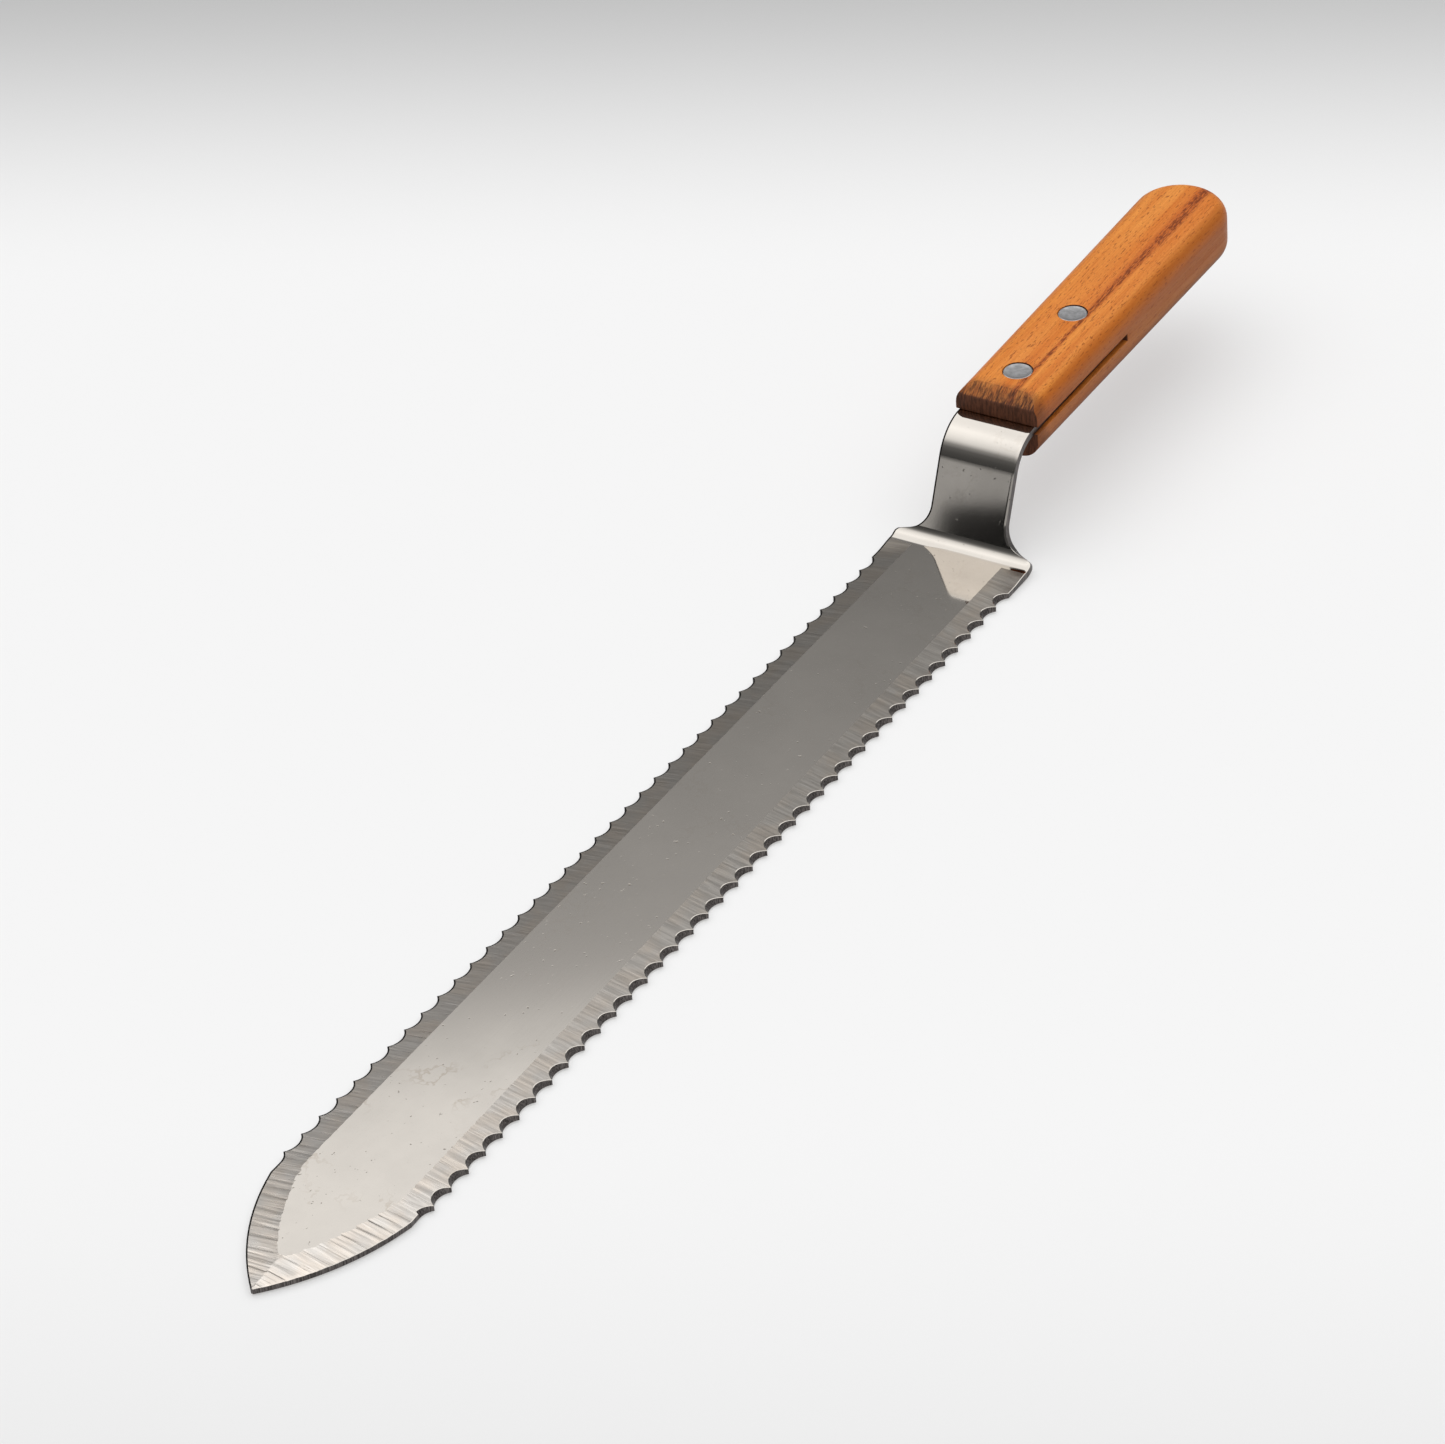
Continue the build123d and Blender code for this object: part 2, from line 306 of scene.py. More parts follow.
def rolled_steel(sizes):
    """Smooth rolled sheet: faint lines along the blade, tiny pits and a few dull stains."""
    material, w, shader = new_material("rolled_steel", Metallic=1.0)
    place = w.place()
    lines = w.noise(w.stretched(place, (30.0, 2600.0, 2600.0)), 1.0, 3.0, 0.6)
    cloud = w.noise(place, 45.0, 4.0, 0.6)
    pits = w.noise(place, 900.0, 2.0, 0.5)
    pit = w.between(pits, 0.705, 0.78)
    dried = w.math("ABSOLUTE", w.math("SUBTRACT", w.noise(place, 75.0, 4.0, 0.6), 0.5))
    patch = w.between(w.noise(place, 42.0, 2.0, 0.5), 0.46, 0.60)
    ahead = w.between(w.parts(place)[0], 0.08, 0.175, 0.06, 0.42)
    stain = w.math("MULTIPLY", w.math("MULTIPLY", w.between(dried, 0.002, 0.018, 1.0, 0.0), patch), ahead)
    tone = w.mix(w.between(cloud, 0.3, 0.7), tuple(sizes.steel), scaled(sizes.steel, 0.93))
    tone = w.mix(w.math("MULTIPLY", pit, 0.45), tone, (0.16, 0.12, 0.08))
    tone = w.mix(stain, tone, (0.34, 0.25, 0.16))
    w.put(shader.inputs["Base Color"], tone)
    rough = w.between(cloud, 0.25, 0.75, 0.045, 0.07)
    rough = w.math("ADD", rough, w.math("MULTIPLY", stain, 0.12))
    w.put(shader.inputs["Roughness"], w.math("ADD", rough, w.math("MULTIPLY", pit, 0.2)))
    normal = w.bump(lines, 0.000004, 0.12)
    w.put(shader.inputs["Normal"], w.bump(w.math("MULTIPLY", pit, -1.0), 0.00002, 0.4, normal))
    return material


def ground_steel(sizes):
    """Coarsely ground strip: fine grooves across the blade, leaning forwards on both sides, with a painted
    highlight towards the point and painted shade towards the heel.
    """
    material, w, shader = new_material("ground_steel", Metallic=1.0)
    place = w.place()
    parts = w.parts(place)
    out = w.math("ABSOLUTE", parts[1])
    apart = w.math("SUBTRACT", parts[0], w.math("SIGN", parts[1]))
    level = w.node("ShaderNodeCombineXYZ", {"X": apart, "Y": out})
    slanted = w.stretched(level.outputs[0], (1.0, 1.0, 0.0), (0.0, 0.0, sizes.stroke_slant))
    fine = w.noise(w.stretched(slanted, (5200.0, 110.0, 1.0)), 1.0, 3.0, 0.6)
    coarse = w.noise(w.stretched(slanted, (1300.0, 90.0, 1.0)), 1.0, 2.0, 0.5)
    broad = w.noise(w.stretched(slanted, (420.0, 70.0, 1.0)), 1.0, 1.0, 0.5)
    tint = w.noise(place, 160.0, 2.0, 0.5)
    scratch = w.between(fine, 0.56, 0.76)
    warm = tuple(c * k for c, k in zip(sizes.ground, (1.03, 0.98, 0.93)))
    tone = w.mix(w.between(tint, 0.35, 0.65), tuple(sizes.ground), warm)
    tone = w.mix(w.between(coarse, 0.3, 0.7, 0.0, 0.45), tone, scaled(sizes.ground, 0.55))
    tone = w.mix(w.math("MULTIPLY", scratch, 0.35), tone, (0.80, 0.79, 0.77))
    # painted highlight towards the point and painted shade towards the heel: the strip's tone is raised ahead
    # and lowered behind
    inputs = {"Value": parts[0], "From Min": -0.02, "From Max": 0.195, "To Min": 0.0, "To Max": 1.0}
    ahead = w.math("POWER", w.node("ShaderNodeMapRange", inputs, clamp=True).outputs[0], 2.0)
    painted_shade_ground = w.mix(1.0, tone, (0.72, 0.72, 0.72), "MULTIPLY")
    bright = w.mix(1.0, tone, (1.78, 1.79, 1.82), "MULTIPLY")
    w.put(shader.inputs["Base Color"], w.mix(ahead, painted_shade_ground, bright))
    rough = w.between(coarse, 0.25, 0.75, 0.30, 0.42)
    w.put(shader.inputs["Roughness"], w.math("SUBTRACT", rough, w.math("MULTIPLY", ahead, 0.08)))
    normal = w.bump(broad, 0.00005, 0.9)
    normal = w.bump(coarse, 0.00004, 0.9, normal)
    w.put(shader.inputs["Normal"], w.bump(fine, 0.00002, 0.8, normal))
    return material


def cut_steel(name, low, high):
    """Sheared walls of the sheet, with marks across its thickness. Their near-black tones are painted shade,
    on the walls and on the narrow corner along the edge ground from below.
    """
    material, w, shader = new_material(name, Metallic=1.0)
    place = w.place()
    marks = w.noise(w.stretched(place, (4200.0, 4200.0, 160.0)), 1.0, 3.0, 0.6)
    tone = w.mix(w.between(marks, 0.35, 0.72), low, high)
    w.put(shader.inputs["Base Color"], tone)
    w.put(shader.inputs["Roughness"], w.between(marks, 0.2, 0.8, 0.25, 0.42))
    w.put(shader.inputs["Normal"], w.bump(marks, 0.00003, 0.8))
    return material


def oiled_beech(sizes, grain, front_place):
    """Oiled beech: grain along the handle, short dark flecks, a red-brown streak and dark end grain, with
    painted shade on the handle's sides and underside.
    """
    material, w, shader = new_material("oiled_beech", IOR=1.45)
    place = w.place()
    straight = w.stretched(place, (1.0, 1.0, 1.0), (0.0, -sizes.climb, 0.0))
    across = w.parts(straight)[1]
    drift = w.noise(w.stretched(straight, (16.0, 120.0, 60.0)), 1.0, 2.0, 0.5)
    bands = w.noise(w.stretched(straight, (9.0, 260.0, 180.0)), 1.0, 3.0, 0.55)
    grain_lines = w.noise(w.stretched(straight, (60.0, 2300.0, 2300.0)), 1.0, 3.0, 0.6)
    pores = w.noise(w.stretched(straight, (420.0, 5200.0, 5200.0)), 1.0, 2.0, 0.5)
    flecks = w.noise(w.stretched(straight, (620.0, 3600.0, 3000.0)), 1.0, 1.0, 0.4)
    fleck = w.between(flecks, 0.62, 0.70)
    speckle = w.noise(w.stretched(straight, (1300.0, 2600.0, 2600.0)), 1.0, 2.0, 0.6)
    behind = w.math("SUBTRACT", w.along(place, grain), front_place)
    tone = w.mix(w.between(bands, 0.30, 0.72), tuple(sizes.wood), tuple(sizes.pale))
    tone = w.mix(w.between(grain_lines, 0.40, 0.78, 0.0, 0.32), tone, scaled(sizes.streak, 1.5))
    tone = w.mix(w.between(speckle, 0.35, 0.70, 0.0, 0.28), tone, scaled(sizes.streak, 2.4))
    tone = w.mix(w.math("MULTIPLY", fleck, 0.7), tone, scaled(sizes.streak, 1.1))
    wander = w.math("MULTIPLY", w.math("SUBTRACT", drift, 0.5), 0.004)
    from_streak = w.math("ABSOLUTE", w.math("ADD", w.math("SUBTRACT", across, sizes.streak_side), wander))
    from_streak = w.math("DIVIDE", from_streak, w.between(behind, 0.025, 0.058, 0.40, 1.0))
    band = w.between(from_streak, sizes.streak_width * 0.15, sizes.streak_width, 1.0, 0.0)
    thread = w.noise(w.stretched(straight, (480.0, 3400.0, 900.0)), 1.0, 4.0, 0.7)
    reach = w.math("SUBTRACT", 0.68, w.math("MULTIPLY", band, 0.24))
    streak = w.math("MULTIPLY", w.math("SUBTRACT", thread, reach), 12.0, clamp=True)
    tone = w.mix(w.math("MULTIPLY", band, 0.6), tone, scaled(sizes.streak, 2.2))
    tone = w.mix(w.math("MULTIPLY", streak, w.math("MULTIPLY", band, 0.9)), tone, scaled(sizes.streak, 0.8))
    # painted shade: the handle's sides are darker than its top
    side = w.between(w.math("ABSOLUTE", across), 0.0080, 0.0110)
    tone = w.mix(w.math("MULTIPLY", side, 0.55), tone, (0.27, 0.065, 0.008))
    # painted shade: faces that point down are darker and give less gloss
    normal = w.node("ShaderNodeNewGeometry").outputs["Normal"]
    under = w.between(w.parts(normal)[2], -0.65, 0.35, 0.85, 0.0)
    tone = w.mix(under, tone, (0.12, 0.028, 0.005))
    facing = w.along(normal, grain)
    end_marks = w.noise(w.stretched(straight, (500.0, 2600.0, 420.0)), 1.0, 3.0, 0.6)
    ragged = w.math("MULTIPLY", w.math("SUBTRACT", end_marks, 0.5), 0.6)
    front = w.between(w.math("ADD", facing, ragged), -0.68, -0.22, 1.0, 0.0)
    tongue = w.between(w.math("ADD", behind, w.math("MULTIPLY", ragged, 0.009)), 0.002, 0.0065, 0.55, 0.0)
    butt = w.between(facing, 0.45, 1.0, 0.0, 0.3)
    end = w.math("MAXIMUM", w.math("MAXIMUM", front, tongue), butt)
    end_tone = w.mix(w.between(end_marks, 0.3, 0.7), tuple(sizes.end_grain), scaled(sizes.end_grain, 2.4))
    tone = w.mix(end, tone, end_tone)
    w.put(shader.inputs["Base Color"], tone)
    # less gloss where the painted shade falls underneath
    gloss = w.math("MULTIPLY", w.math("SUBTRACT", 1.0, under), 0.22)
    w.put(shader.inputs["Specular IOR Level"], gloss)
    rough = w.between(grain_lines, 0.2, 0.8, 0.36, 0.52)
    w.put(shader.inputs["Roughness"], w.math("ADD", rough, w.math("MULTIPLY", end, 0.2)))
    height = w.math("ADD", w.math("MULTIPLY", pores, 0.5), w.math("MULTIPLY", fleck, -0.2))
    height = w.math("SUBTRACT", height, w.math("MULTIPLY", streak, 0.4))
    w.put(shader.inputs["Normal"], w.bump(height, 0.00005, 0.7))
    return material


def dull_aluminium(sizes):
    """Aluminium rivet heads, ground flush and worn."""
    material, w, shader = new_material("dull_aluminium", Metallic=1.0)
    place = w.place()
    cloud = w.noise(place, 700.0, 4.0, 0.6)
    scuffs = w.noise(w.stretched(place, (900.0, 6000.0, 900.0), (0.0, 0.0, 0.6)), 1.0, 2.0, 0.5)
    tone = w.mix(w.between(cloud, 0.3, 0.7), tuple(sizes.metal), scaled(sizes.metal, 0.68))
    w.put(shader.inputs["Base Color"], tone)
    w.put(shader.inputs["Roughness"], w.between(cloud, 0.3, 0.7, 0.32, 0.5))
    w.put(shader.inputs["Normal"], w.bump(w.math("ADD", scuffs, cloud), 0.00004, 0.5))
    return material


def backdrop_paper(sizes, back):
    """Pale paper with painted shade far behind the knife and a little in front of it, and a painted glow that
    lightens its shadows.
    """
    glow = sizes.paper_glow
    fixed = {"Roughness": 0.8, "Specular_IOR_Level": 0.1, "Emission_Strength": glow}
    material, w, shader = new_material("backdrop_paper", **fixed)
    place = w.place()
    distance = w.along(place, back)
    # painted shade: the paper darkens far behind the knife and a little in front of it
    far = w.between(distance, 0.20, 0.42)
    near = w.between(distance, -0.34, -0.12, 1.0, 0.0)
    mottle = w.noise(place, 30.0, 2.0, 0.5)
    pale = w.mix(w.math("MULTIPLY", mottle, 0.02), tuple(sizes.paper), (0.75, 0.75, 0.76))
    pale = w.mix(near, pale, scaled(sizes.paper, 0.82))
    tone = w.mix(far, pale, scaled(sizes.paper, 0.51))
    # part of the paper's tone is painted light: it glows and so lightens the shadows on it
    w.put(shader.inputs["Base Color"], w.mix(1.0, tone, (1.0 - glow,) * 3, "MULTIPLY"))
    w.put(shader.inputs["Emission Color"], tone)
    return material


# Mesh helpers


def new_piece(name, vertices, faces):
    mesh = bpy.data.meshes.new(name)
    mesh.from_pydata(vertices, [], faces)
    if mesh.validate():
        raise RuntimeError(f"{name} has broken faces")
    piece = bpy.data.objects.new(name, mesh)
    bpy.context.scene.collection.objects.link(piece)
    return piece


def make_plain(piece):
    """Turns what the piece's modifiers make into its plain mesh."""
    depsgraph = bpy.context.evaluated_depsgraph_get()
    evaluated = piece.evaluated_get(depsgraph)
    mesh = bpy.data.meshes.new_from_object(evaluated, preserve_all_data_layers=True, depsgraph=depsgraph)
    piece.modifiers.clear()
    old = piece.data
    piece.data = mesh
    bpy.data.meshes.remove(old)
    mesh.name = piece.name


def cut_away(piece, cutters):
    """Takes the cutters' volumes out of the piece."""
    for cutter in cutters:
        cut = piece.modifiers.new("cut", "BOOLEAN")
        cut.object = cutter
        cut.operation = "DIFFERENCE"
        cut.solver = "EXACT"
    make_plain(piece)
    for cutter in cutters:
        bpy.data.objects.remove(cutter)


def shade(piece, limit):
    """Smooth shading, with edges over the limit angle and between materials kept sharp."""
    mesh = piece.data
    mesh.shade_smooth()
    mesh.set_sharp_from_angle(angle=limit)
    shaped = bmesh.new()
    shaped.from_mesh(mesh)
    for edge in shaped.edges:
        if len({face.material_index for face in edge.link_faces}) > 1:
            edge.smooth = False
    shaped.to_mesh(mesh)
    shaped.free()


def lathe(name, profile, segments, placing):
    """Solid of revolution. profile runs (radius, height) from axis to axis, or closed on itself."""
    on_axis = profile[0][0] == 0.0
    vertices = []
    rings = []
    for radius, height in profile:
        if radius == 0.0:
            rings.append([len(vertices)] * segments)
            vertices.append(placing @ Vector((0.0, 0.0, height)))
            continue
        rings.append([len(vertices) + step for step in range(segments)])
        for step in range(segments):
            turn = 2 * math.pi * step / segments
            vertices.append(placing @ Vector((radius * math.cos(turn), radius * math.sin(turn), height)))
    pairs = list(zip(rings, rings[1:]))
    if not on_axis:
        pairs.append((rings[-1], rings[0]))
    faces = []
    for first, second in pairs:
        for step in range(segments):
            after = (step + 1) % segments
            corners = [first[step], first[after], second[after], second[step]]
            faces.append(list(dict.fromkeys(corners)))
    return new_piece(name, vertices, faces)


def make_normals_outward(piece):
    shaped = bmesh.new()
    shaped.from_mesh(piece.data)
    bmesh.ops.recalc_face_normals(shaped, faces=shaped.faces)
    if shaped.calc_volume(signed=True) < 0:
        bmesh.ops.reverse_faces(shaped, faces=shaped.faces)
    shaped.to_mesh(piece.data)
    shaped.free()


# Where the sheet goes


class SheetLine:
    """Middle line of the sheet. Distances run backwards from the start of the lower bend."""

    def __init__(self, sizes):
        blade, neck, handle = sizes.blade, sizes.neck, sizes.handle
        self.middle = blade.sheet / 2
        self.angle = neck.angle
        self.climb = handle.climb
        self.lower = neck.lower_radius + self.middle
        self.upper = neck.upper_radius + self.middle
        lower_tangent = self.lower * math.tan(neck.angle / 2)
        upper_tangent = self.upper * math.tan((neck.angle - handle.climb) / 2)
        self.first_cusp_x = blade_high.x - blade.point_length
        self.last_cusp_x = self.first_cusp_x - blade.tooth_count * blade.tooth_pitch
        self.shoulder_x = self.last_cusp_x - blade.heel_land
        self.bend_x = self.shoulder_x + neck.foot_ahead + lower_tangent
        straight = neck.rise / math.sin(neck.angle) - lower_tangent - upper_tangent
        self.bend_end = self.lower * neck.angle
        self.neck_end = self.bend_end + straight
        self.upper_end = self.neck_end + self.upper * (neck.angle - handle.climb)
        self.handle_front = self.upper_end + handle.gap
        self.tang_end = self.handle_front + neck.tang_depth

    def at(self, distance):
        """(x, z, angle) of the middle line."""
        angle = min(max(distance / self.lower, 0.0), self.angle)
        x = self.bend_x - self.lower * math.sin(angle) - min(distance, 0.0)
        z = self.middle + self.lower * (1 - math.cos(angle))
        straight = min(max(distance, self.bend_end), self.neck_end) - self.bend_end
        x -= straight * math.cos(self.angle)
        z += straight * math.sin(self.angle)
        if distance > self.neck_end:
            angle = max(self.angle - (distance - self.neck_end) / self.upper, self.climb)
            x -= self.upper * (math.sin(self.angle) - math.sin(angle))
            z += self.upper * (math.cos(angle) - math.cos(self.angle))
            flat = max(distance - self.upper_end, 0.0)
            x -= flat * math.cos(self.climb)
            z += flat * math.sin(self.climb)
        return x, z, angle

    def handle_placing(self):
        """Handle's own axes: x back along the tang, y across, z up from the tang's middle."""
        x, z, _ = self.at(self.handle_front)
        back = Vector((-math.cos(self.climb), 0.0, math.sin(self.climb)))
        up = Vector((math.sin(self.climb), 0.0, math.cos(self.climb)))
        across = up.cross(back)
        turned = Matrix((back, across, up)).transposed().to_4x4()
        return Matrix.Translation((x, 0.0, z)) @ turned


class BladeShape:
    """Half widths and heights of the flat blade at a place ahead of the lower bend."""

    def __init__(self, sizes, line):
        self.sizes = sizes.blade
        self.line = line
        self.half = blade_high.y
        self.slope = self.sizes.bevel_drop / self.sizes.bevel_width
        base = self.sizes.point_base / 2
        chord = math.hypot(self.sizes.point_length, base)
        reach = math.sqrt(self.sizes.point_radius**2 - (chord / 2) ** 2)
        self.centre_x = line.first_cusp_x + self.sizes.point_length / 2 - reach * base / chord
        self.centre_y = base / 2 - reach * self.sizes.point_length / chord

    def circle(self, x, radius):
        """Distance from the blade's axis to a circle about the centre of the point's edge."""
        return self.centre_y + math.sqrt(max(radius**2 - (x - self.centre_x) ** 2, 0.0))

    def edge(self, x):
        """Half width with the scallops not yet cut."""
        if x >= self.line.first_cusp_x:
            return max(self.circle(x, self.sizes.point_radius), self.sizes.tip_width / 2)
        past = (self.line.first_cusp_x - x) / (self.sizes.tooth_pitch / 2)
        if past < 1 - 1e-6:
            base = self.sizes.point_base / 2
            return base + (self.half - self.sizes.tooth_depth - base) * past
        return self.half

    def strokes(self, x, y):
        """Hollow of the coarse grinding strokes, from -0.3 on their backs to 0.7 at their fronts."""
        along = x - abs(y) * math.tan(self.sizes.stroke_slant) + math.copysign(5.3 * mm, y)
        hollow = 0.0
        for stroke, weight in ((self.sizes.stroke, 0.65), (self.sizes.stroke * 0.38, 0.35)):
            pace = along / stroke
            phase = pace + 0.19 * math.sin(1.7 * pace) + 0.07 * math.sin(4.1 * pace + 1.0)
            share = math.ceil(phase) - phase
            closing = min((1.0 - share) / 0.14, 1.0)
            rise = math.sin(math.pi / 2 * min(share / 0.86, 1.0))
            hollow += weight * (0.7 - rise * closing)
        return hollow * (1.0 if y > 0 else self.sizes.stroke_below)

    def roughness(self, x):
        """How coarse the grinding is: full at the point, little along the blade."""
        behind = max(self.line.first_cusp_x + 6 * mm - x, 0.0)
        return 0.12 + 0.88 * math.exp(-behind / (22 * mm))

    def inner(self, x, side):
        """Distance from the axis to the inner line of the ground strip."""
        straight = self.half - self.sizes.bevel_width
        curved = self.circle(x, self.sizes.point_radius - self.sizes.bevel_width)
        behind = self.line.first_cusp_x - x
        blend = min(max(behind / (12 * mm) + 0.35, 0.0), 1.0)
        blend = blend * blend * (3 - 2 * blend)
        clean = curved * (1 - blend) + straight * blend
        return clean - self.sizes.stroke_reach * self.roughness(x) * self.strokes(x, side * clean)

    def height(self, x, y, inner, side):
        """Height of the top face at the distance y from the axis."""
        out = max(y - inner, 0.0)
        if x > self.line.first_cusp_x:
            along = x - self.centre_x
            out = math.hypot(along, y - self.centre_y) - math.hypot(along, inner - self.centre_y)
            out = max(out, 0.0)
        fade = min(max((x - self.line.bend_x) / self.sizes.bevel_fade, 0.0), 1.0)
        hollow = self.sizes.stroke_depth * self.roughness(x) * (self.strokes(x, side * y) + 0.3)
        ground = self.slope * out + hollow * min(out / (1.2 * mm), 1.0)
        return self.sizes.sheet - ground * fade * fade * (3 - 2 * fade)


def neck_half_width(sizes, line, distance):
    """Half width behind the start of the lower bend, with rounded shoulders."""
    neck = sizes.neck
    x, z, _ = line.at(distance)
    up_slope = Vector((-math.cos(neck.angle), math.sin(neck.angle)))
    behind = (Vector((x, z)) - Vector((line.shoulder_x, sizes.blade.sheet))).dot(up_slope)
    outer, inner = blade_high.y, neck.width / 2
    slope = neck.shoulder_slope
    # outer corner: from the straight edge to the sloping shoulder
    cut = neck.corner_radius * math.tan((math.pi / 2 - slope) / 2)
    start = -cut
    end = cut * math.sin(slope)
    if behind <= start:
        return outer
    if behind <= end:
        return outer - neck.corner_radius + math.sqrt(max(neck.corner_radius**2 - (behind - start) ** 2, 0.0))
    # inner corner: from the sloping shoulder to the neck's side
    fall = (outer - inner) * math.tan(slope)
    root = neck.root_radius * math.tan((math.pi / 2 - slope) / 2)
    if behind <= fall - root * math.sin(slope):
        return outer - behind / math.tan(slope)
    if behind <= fall + root:
        left = fall + root - behind
        return inner + neck.root_radius - math.sqrt(max(neck.root_radius**2 - left**2, 0.0))
    return inner


def spread(first, last, count):
    """count + 1 even places from first to last."""
    return [first + (last - first) * step / count for step in range(count + 1)]


# cross-sections along the point, how closely they crowd at the tip, and along each scallop
point_steps, point_crowding, scallop_steps = 170, 1.6, 14


def blade_places(sizes, line):
    """Places of the cross-sections, from the tip to the tang's end, as distances behind the bend."""
    blade = sizes.blade
    to_bend = line.bend_x
    places = []
    tip_half = blade.tip_width / 2
    for share in spread(0.0, 1.0, point_steps):
        eased = share**point_crowding
        places.append(-(blade_high.x - tip_half - (blade.point_length - tip_half) * eased - to_bend))
    toothed = spread(line.first_cusp_x, line.last_cusp_x, blade.tooth_count * scallop_steps)
    places += [to_bend - x for x in toothed[1:]]
    root_end = line.bend_end + 9.5 * mm
    ends = [to_bend - line.last_cusp_x, 0.0, line.bend_end, root_end]
    ends += [line.neck_end, line.upper_end, line.tang_end]
    for first, last, steps in zip(ends, ends[1:], (22, 40, 70, 8, 36, 12)):
        places += spread(first, last, steps)[1:]
    return places


# the last finish is the dark corner with painted shade along the edge ground from below
flat_finish, ground_finish, cut_finish, painted_shade_corner_finish = 0, 1, 2, 3
bevel_rows = 5


def section_rows(width, inner, corner):
    """Distances from the axis of one half of the top face, from the axis outwards."""
    rows = [0.0, inner * 0.5, inner]
    rows += spread(inner, width - corner, bevel_rows)[1:]
    return rows


def blade_mesh(sizes, line):
    """Vertices, faces and their attributes for blade, neck and tang in one sheet."""
    blade = sizes.blade
    shape = BladeShape(sizes, line)
    wide = blade.tooth_depth_ground / blade.tooth_depth
    vertices, faces, finishes = [], [], []
    edge_share, rise_share = [], []
    loops = []
    for distance in blade_places(sizes, line):
        x, z, angle = line.at(distance)
        on_blade = distance < 1e-9
        toothed = line.last_cusp_x - 1e-7 <= x <= line.first_cusp_x - blade.tooth_pitch / 2 + 1e-7
        toothed = toothed and on_blade
        width = shape.edge(x) if on_blade else neck_half_width(sizes, line, distance)
        normal = Vector((math.sin(angle), 0.0, math.cos(angle)))
        centre = Vector((x, 0.0, z))
        loop = []

        def add(y, above, share, rise):
            loop.append(len(vertices))
            vertices.append(centre + Vector((0.0, y, 0.0)) + normal * (above - line.middle))
            edge_share.append(share)
            rise_share.append(rise)

        # one edge's scallops are ground from above, the other's from below
        for side, above_share, below_share in ((1, wide, 1.0), (-1, 1.0, wide)):
            inner = shape.inner(x, side) if on_blade else width * 0.66
            fade = min(max((-distance) / blade.bevel_fade, 0.0), 1.0)
            wanted = min(inner, width * 0.66) if fade > 0.999 else inner
            row_inner = max(wanted, width * 0.1)
            # the edge ground from below gets a wider corner, which carries painted shade
            corner, fall = (blade.burr, blade.burr_fall) if side == 1 else (blade.painted_shade_corner, blade.painted_shade_corner_fall)
            rows = section_rows(width, row_inner, corner)
            if side == -1:
                rows = rows[1:]
            steps = []
            for y in rows:
                share = max(y - row_inner, 0.0) / (width - corner - row_inner)
                share *= above_share if toothed else 0.0
                above = shape.height(x, y, inner, side) if on_blade else blade.sheet
                steps.append((side * y, above, share, share))
            lip = shape.height(x, width, inner, side) if on_blade else blade.sheet
            top_share = above_share if toothed else 0.0
            steps.append((side * width, lip - fall, top_share, top_share))
            steps.append((side * width, 0.0, below_share if toothed else 0.0, 0.0))
            if side == 1:
                steps.reverse()
            for step in steps:
                add(*step)
        add(0.0, 0.0, 0.0, 0.0)
        loops.append((loop, x, on_blade))
    count = len(loops[0][0])
    wall_first, wall_last = 0, count - 3
    for (first, x_first, ahead), (second, x_second, _) in zip(loops, loops[1:]):
        middle = (x_first + x_second) / 2
        point_all_ground = shape.inner(middle, 1) < shape.edge(middle) * 0.1
        for step in range(count):
            after = (step + 1) % count
            faces.append((first[step], second[step], second[after], first[after]))
            from_edge = min(step, count - 3 - step)
            finish = flat_finish
            # the walls take the cut finish, whose near-black tone is painted shade
            if step == wall_first or step == wall_last:
                finish = cut_finish
            # the corner on the edge ground from below: painted shade
            elif step == wall_last - 1:
                finish = painted_shade_corner_finish
            elif step < count - 2 and ahead and middle > line.bend_x + 0.5 * mm:
                strip = 2 <= from_edge <= bevel_rows + 1
                if strip or point_all_ground:
                    finish = ground_finish
            finishes.append(finish)
    faces.append(tuple(loops[0][0]))
    finishes.append(cut_finish)
    faces.append(tuple(reversed(loops[-1][0])))
    finishes.append(cut_finish)
    return vertices, faces, finishes, edge_share, rise_share


def add_inputs(tree, names):
    """Geometry in and out of the tree, and a number or vector input for each name."""
    tree.interface.new_socket("Geometry", in_out="INPUT", socket_type="NodeSocketGeometry")
    for name, kind in names.items():
        tree.interface.new_socket(name, in_out="INPUT", socket_type=kind)
    tree.interface.new_socket("Geometry", in_out="OUTPUT", socket_type="NodeSocketGeometry")


def set_input(modifier, name, value):
    """Sets a tree's input by its socket's identifier."""
    for item in modifier.node_group.interface.items_tree:
        if item.item_type == "SOCKET" and item.in_out == "INPUT" and item.name == name:
            modifier[item.identifier] = value
            return
    raise KeyError(name)


